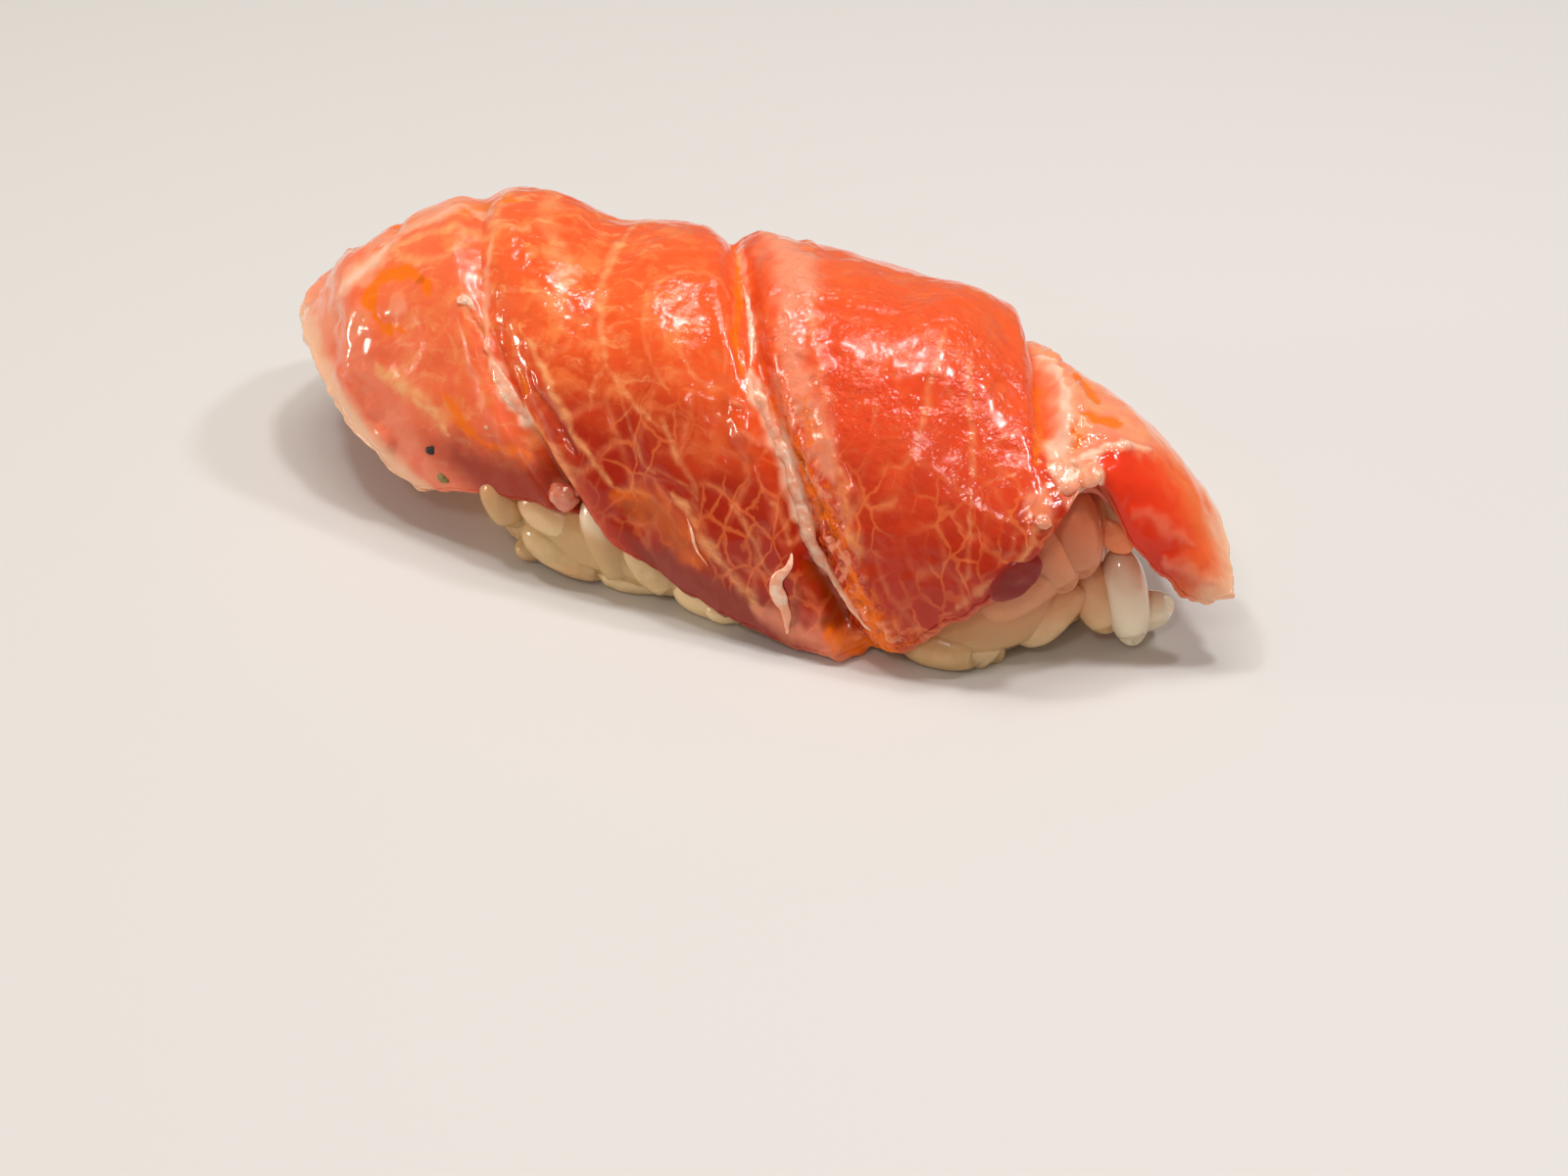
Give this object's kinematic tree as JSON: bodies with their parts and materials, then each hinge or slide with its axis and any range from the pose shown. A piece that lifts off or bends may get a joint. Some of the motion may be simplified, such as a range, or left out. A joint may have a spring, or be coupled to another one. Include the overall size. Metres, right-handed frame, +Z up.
{
  "type": "fatty tuna nigiri",
  "caption": "Nigiri sushi: a bias-cut slice of fatty belly tuna draped over a hand-pressed ball of rice, free standing, without a dish.",
  "frame": {"origin": "middle of the flat base that the rice rests on", "axes": "+Z up, +X along the rice ball towards the narrow tail of the slice, -Y the side on which the slice hangs lowest"},
  "size_m": [0.0787, 0.0299, 0.0225],
  "materials": {
    "tuna_slice": "moist translucent raw fatty tuna, orange-red with pale marbling, glossy",
    "rice": "cooked seasoned short grain rice, creamy white, slightly translucent and moist"
  },
  "bodies": {
    "root": {"tuna_slice": "tuna_slice", "rice": "rice"}
  },
  "joints": []
}
